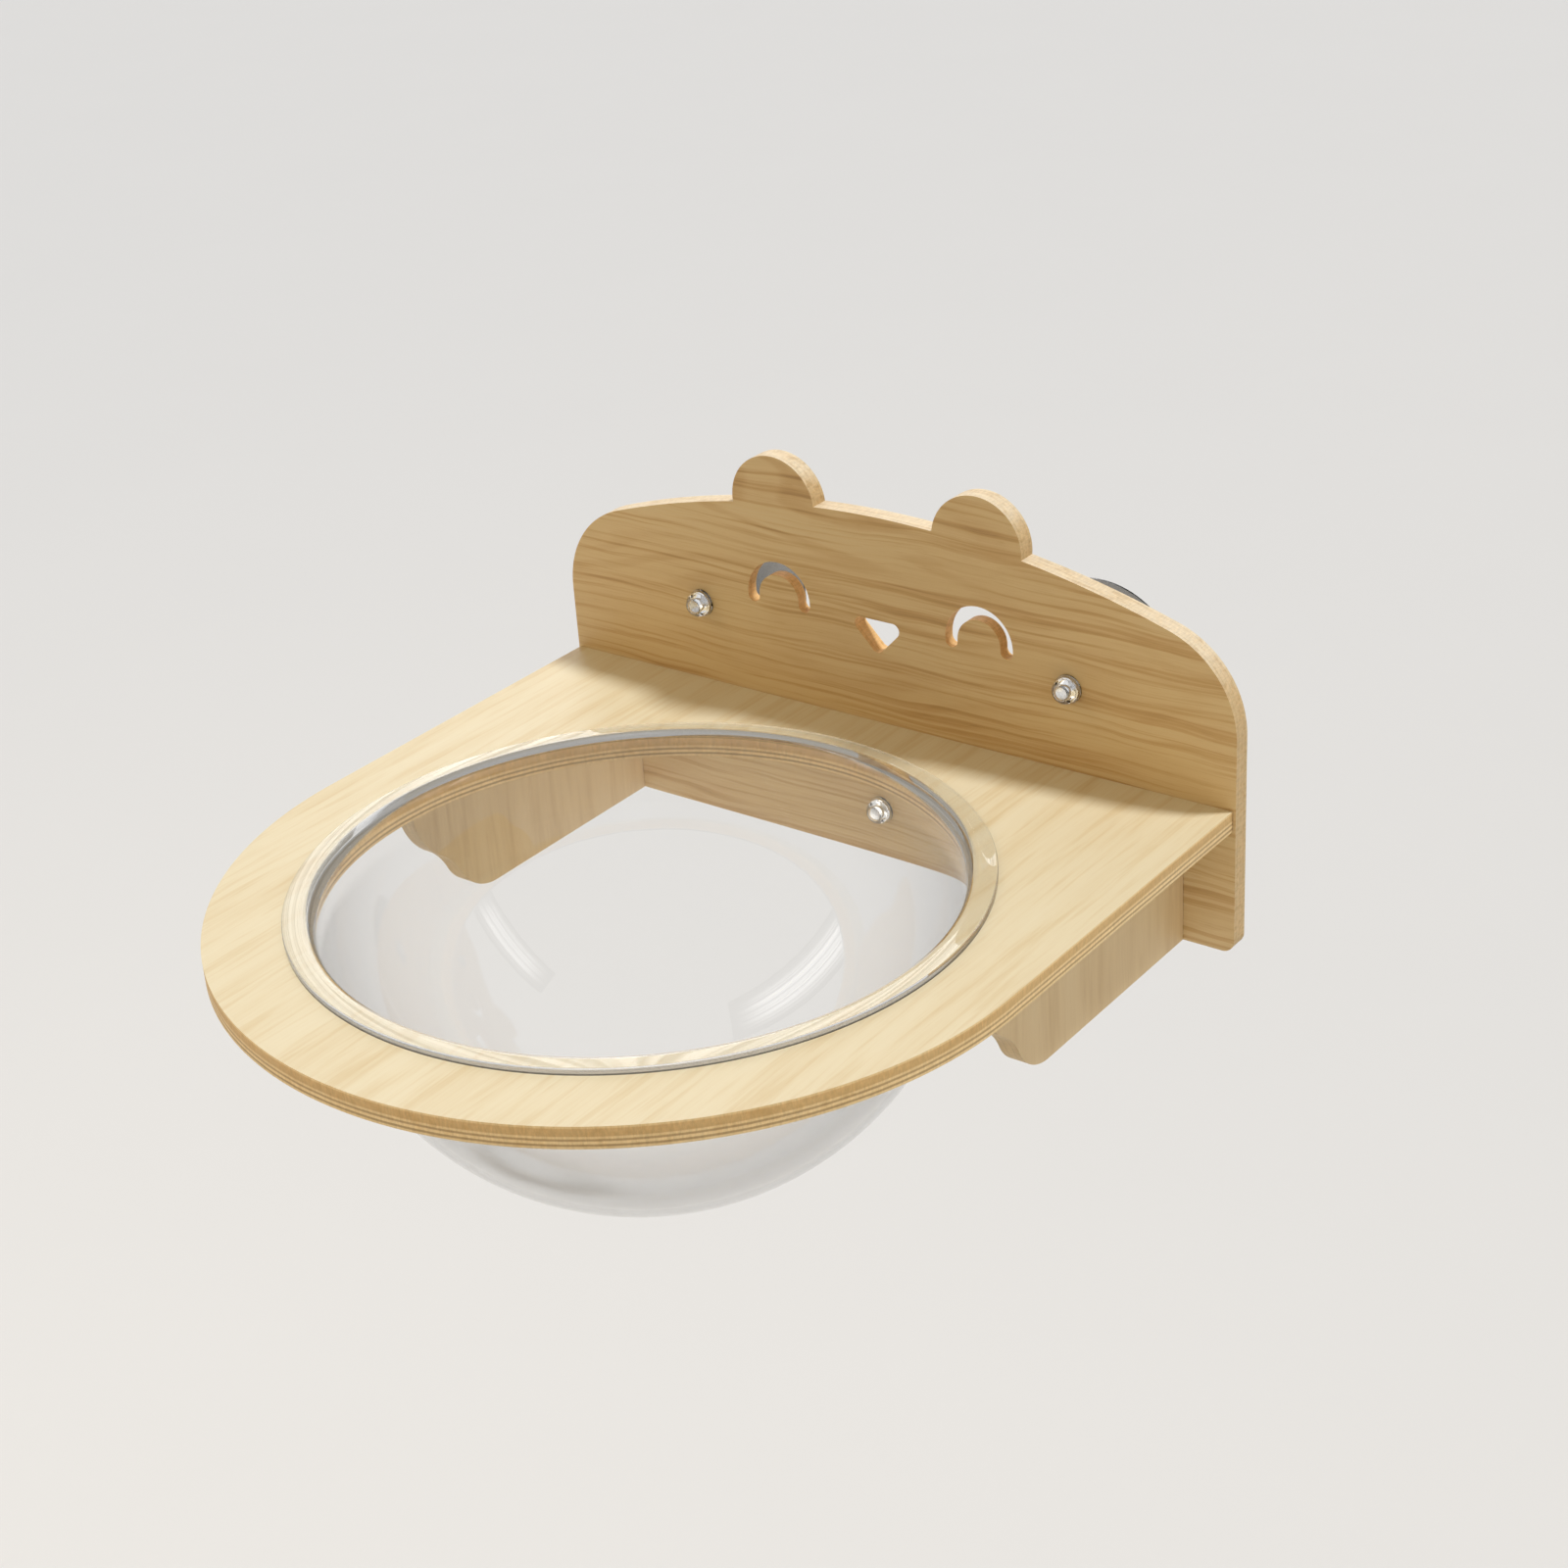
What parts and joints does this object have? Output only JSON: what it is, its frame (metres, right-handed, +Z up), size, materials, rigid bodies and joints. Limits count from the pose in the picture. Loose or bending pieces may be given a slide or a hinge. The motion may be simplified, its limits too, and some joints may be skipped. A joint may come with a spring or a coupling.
{
  "type": "window cat hammock",
  "caption": "Window cat hammock: a clear round bowl lifts out of a wooden board on a back panel with rounded ears, scalloped brackets and suction cups.",
  "frame": {"origin": "on the window's glass, at the height of the board's top face, on the part's middle line", "axes": "+X to the right as seen from the room, +Y through the glass away from the room, +Z up"},
  "size_m": [0.394, 0.4155, 0.2784],
  "materials": {
    "acrylic": "polished clear acrylic",
    "board_wood": "clear-lacquered pale plywood, grain front to back",
    "panel_wood": "clear-lacquered pale plywood, grain left to right",
    "bracket_wood": "clear-lacquered pale plywood, grain upright",
    "dowel_wood": "plain beech",
    "cup_vinyl": "soft clear vinyl",
    "clear_plastic": "moulded clear plastic",
    "steel": "zinc-plated steel"
  },
  "bodies": {
    "frame": {"platform_board": "board_wood", "back_panel": "panel_wood", "left_bracket": "bracket_wood", "right_bracket": "bracket_wood", "upper_left_suction_cup": "cup_vinyl", "upper_right_suction_cup": "cup_vinyl", "lower_suction_cup": "cup_vinyl", "upper_left_cup_stud": "steel", "upper_right_cup_stud": "steel", "lower_cup_stud": "steel", "upper_left_washer": "clear_plastic", "upper_right_washer": "clear_plastic", "lower_washer": "clear_plastic", "board_screw_1": "steel", "board_screw_2": "steel", "board_screw_3": "steel", "board_screw_4": "steel", "left_bracket_screw_1": "steel", "left_bracket_screw_2": "steel", "right_bracket_screw_1": "steel", "right_bracket_screw_2": "steel", "left_bracket_dowel_1": "dowel_wood", "left_bracket_dowel_2": "dowel_wood", "right_bracket_dowel_1": "dowel_wood", "right_bracket_dowel_2": "dowel_wood"},
    "bowl": {"acrylic_bowl": "acrylic"},
    "upper_left_nut": {"upper_left_dome_nut": "clear_plastic"},
    "upper_right_nut": {"upper_right_dome_nut": "clear_plastic"},
    "lower_nut": {"lower_dome_nut": "clear_plastic"}
  },
  "joints": [
    {"name": "bowl_lift", "type": "slide", "parent": "frame", "child": "bowl", "axis": [0, 0, 1], "range_m": [0, 0.16]},
    {"name": "upper_left_nut_turn", "type": "hinge", "parent": "frame", "child": "upper_left_nut", "pos_m": [-0.109, -0.0318, 0.0428], "axis": [0, -1, 0], "range_deg": [0, 2160]},
    {"name": "upper_right_nut_turn", "type": "hinge", "parent": "frame", "child": "upper_right_nut", "pos_m": [0.109, -0.0318, 0.0428], "axis": [0, -1, 0], "range_deg": [0, 2160]},
    {"name": "lower_nut_turn", "type": "hinge", "parent": "frame", "child": "lower_nut", "pos_m": [0, -0.0318, -0.048], "axis": [0, -1, 0], "range_deg": [0, 2160]}
  ]
}
